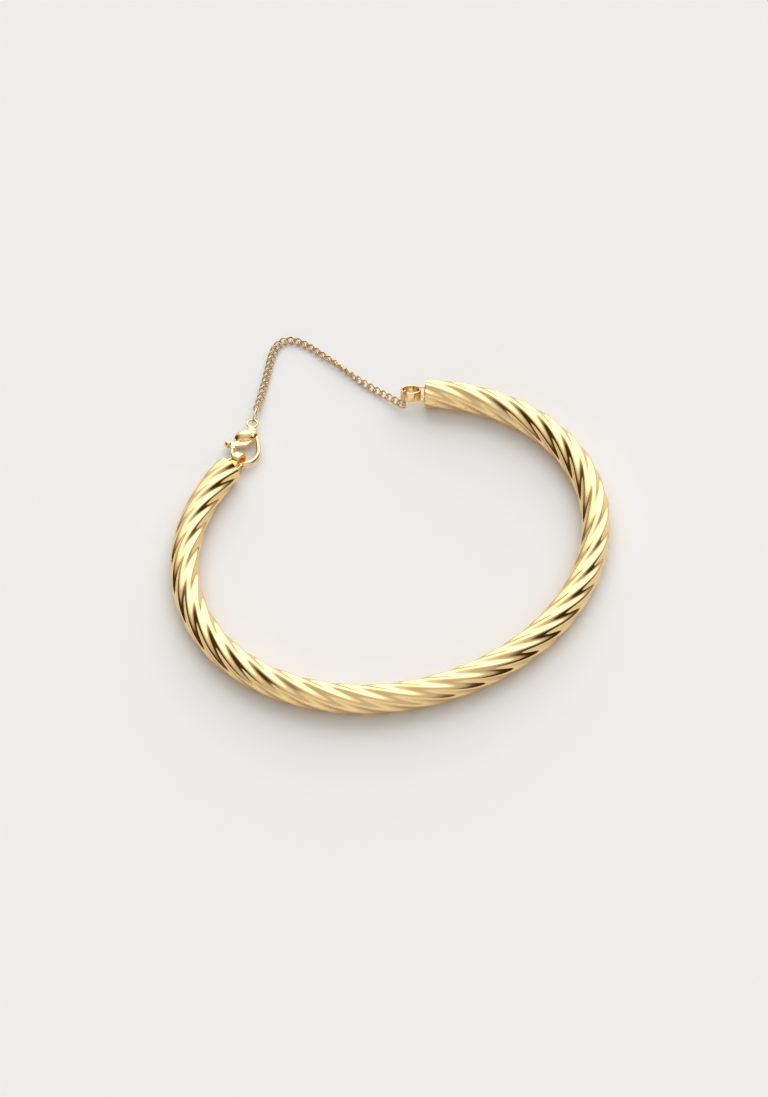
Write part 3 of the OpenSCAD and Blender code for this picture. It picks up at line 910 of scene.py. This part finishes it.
def studio_world():
    """A pale room with one great soft light behind the bangle and dark screens beside it."""
    world = bpy.data.worlds.new("Studio")
    world.use_nodes = True
    tree = world.node_tree
    tree.nodes.clear()
    place = add_node(tree, "ShaderNodeTexCoord").outputs["Generated"]
    colour = (*ROOM_LIGHT, 1.0)
    for compass, height, inner, outer, light in SURROUNDINGS:
        near = add_node(tree, "ShaderNodeVectorMath", {"operation": "DOT_PRODUCT"},
                        _0=place, _1=towards(compass, height))
        share = add_node(tree, "ShaderNodeMapRange", {"interpolation_type": "SMOOTHSTEP"},
                         Value=near.outputs["Value"], From_Min=math.cos(math.radians(outer)),
                         From_Max=math.cos(math.radians(inner)))
        mix = add_node(tree, "ShaderNodeMix", {"data_type": "RGBA"},
                       _0=share.outputs["Result"], _6=colour, _7=(*light, 1.0))
        colour = mix.outputs[2]
    back = add_node(tree, "ShaderNodeBackground", None, Color=colour, Strength=1.0)
    add_node(tree, "ShaderNodeOutputWorld", None, Surface=back.outputs["Background"])
    return world


PAPER_HALF = 4000
CAMERA_AT = Vector((-141.55, -298.95, 500.33)) * MM
CAMERA_AIM = Vector((-0.799, 0.818, 0)) * MM
# Height of the view at this reach from the camera, which with the sensor gives its lens
VIEW_HEIGHT, CAMERA_REACH, SENSOR = 164.5, 600.0, 36.0


class BANGLE_OT_stage(bpy.types.Operator):
    """Makes the pale surface, the soft light and the camera"""
    bl_idname = "bangle.stage"
    bl_label = "Stage"

    def execute(self, context):
        scene = context.scene
        corners = [(x * PAPER_HALF, y * PAPER_HALF, 0) for x, y in ((-1, -1), (1, -1), (1, 1), (-1, 1))]
        piece("paper", corners, [(0, 1, 2, 3)], paper_material(context))
        scene.world = studio_world()

        data = bpy.data.cameras.new("Camera")
        data.sensor_width = SENSOR
        data.lens = SENSOR * CAMERA_REACH / VIEW_HEIGHT
        data.clip_start, data.clip_end = 0.01, 20
        camera = bpy.data.objects.new("Camera", data)
        scene.collection.objects.link(camera)
        camera.location = CAMERA_AT
        camera.rotation_euler = (CAMERA_AIM - CAMERA_AT).to_track_quat("-Z", "Y").to_euler()
        scene.camera = camera
        scene.view_settings.view_transform = "Standard"
        return {"FINISHED"}


class BANGLE_PT_panel(bpy.types.Panel):
    """Lists the bangle's pieces and the stage"""
    bl_label = "Twisted Bangle"
    bl_idname = "BANGLE_PT_panel"
    bl_space_type = "VIEW_3D"
    bl_region_type = "UI"
    bl_category = "Bangle"

    def draw(self, context):
        for operator in OPERATORS:
            self.layout.operator(operator.bl_idname)


OPERATORS = (BANGLE_OT_rod, BANGLE_OT_rings, BANGLE_OT_clasp, BANGLE_OT_chain, BANGLE_OT_stage)
GROUPS = {
    "bangle_rod": BANGLE_PG_rod,
    "bangle_ring": BANGLE_PG_ring,
    "bangle_chain": BANGLE_PG_chain,
    "bangle_clasp": BANGLE_PG_clasp,
    "bangle_finish": BANGLE_PG_finish,
}


def register():
    for name, group in GROUPS.items():
        bpy.utils.register_class(group)
        setattr(bpy.types.Scene, name, bpy.props.PointerProperty(type=group))
    for operator in OPERATORS:
        bpy.utils.register_class(operator)
    bpy.utils.register_class(BANGLE_PT_panel)


def unregister():
    bpy.utils.unregister_class(BANGLE_PT_panel)
    for operator in reversed(OPERATORS):
        bpy.utils.unregister_class(operator)
    for name, group in reversed(GROUPS.items()):
        delattr(bpy.types.Scene, name)
        bpy.utils.unregister_class(group)


def main():
    register()
    bpy.ops.bangle.rod()
    bpy.ops.bangle.rings()
    bpy.ops.bangle.clasp()
    bpy.ops.bangle.chain()
    bpy.ops.bangle.stage()


if __name__ == "__main__":
    main()
